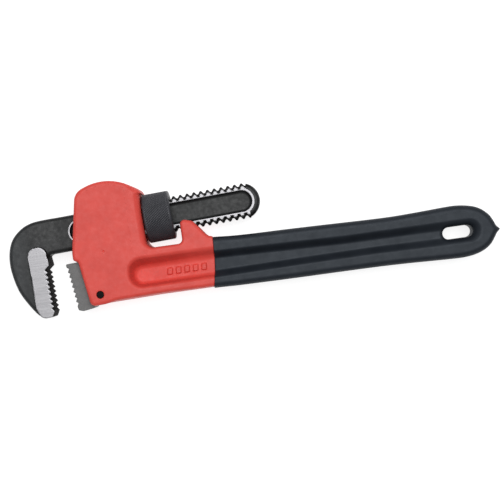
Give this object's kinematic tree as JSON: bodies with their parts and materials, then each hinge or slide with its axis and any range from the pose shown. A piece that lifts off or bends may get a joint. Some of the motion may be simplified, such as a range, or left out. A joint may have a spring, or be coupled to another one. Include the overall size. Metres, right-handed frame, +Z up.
{
  "type": "pipe wrench",
  "caption": "Adjustable pipe wrench with a red cast housing, toothed hook jaw on a threaded shank, knurled nut and a dipped blue handle.",
  "frame": {"origin": "middle of the underside of the bounding box, with the wrench lying on the side of its housing", "axes": "+X runs along the handle from the jaws to the hanging slot, +Y across the wrench from the mouth's open end to the top of the housing, +Z up through the thickness"},
  "size_m": [0.313, 0.081, 0.032],
  "materials": {
    "red_enamel": "gloss enamel over a cast surface",
    "blue_vinyl": "dipped vinyl, satin",
    "forged_steel": "dark heat-treated forging with bright ground faces",
    "black_oxide": "black oxide, knurled",
    "cast_steel": "plain grey, as cast",
    "dark_steel": "dark pin end",
    "spring_steel": "spring steel"
  },
  "bodies": {
    "frame": {"handle_frame": "red_enamel", "dipped_grip": "blue_vinyl", "heel_jaw": "cast_steel", "heel_jaw_pin": "dark_steel", "coil_spring": "spring_steel", "spring_pin": "red_enamel"},
    "rocker": {"flat_spring": "spring_steel"},
    "nut": {"adjusting_nut": "black_oxide"},
    "jaw": {"hook_jaw": "forged_steel"}
  },
  "joints": [
    {"name": "jaw_rock", "type": "hinge", "parent": "frame", "child": "rocker", "pos_m": [-0.06725, 0.02946, 0.016], "axis": [0, 0, 1], "range_deg": [-1.5, 1.5], "stiffness_Nm_per_rad": 15, "deforming": ["flat_spring", "coil_spring"]},
    {"name": "nut_spin", "type": "hinge", "parent": "rocker", "child": "nut", "pos_m": [-0.05805, 0.01386, 0.016], "axis": [0.999, 0.045, 0], "range_deg": [-785, 3642]},
    {"name": "jaw_slide", "type": "slide", "parent": "rocker", "child": "jaw", "axis": [-0.999, -0.045, 0], "range_m": [-0.0097, 0.045]}
  ],
  "couplings": [
    {"joint": "nut_spin", "follows": "jaw_slide", "rad_per_m": 1412}
  ]
}
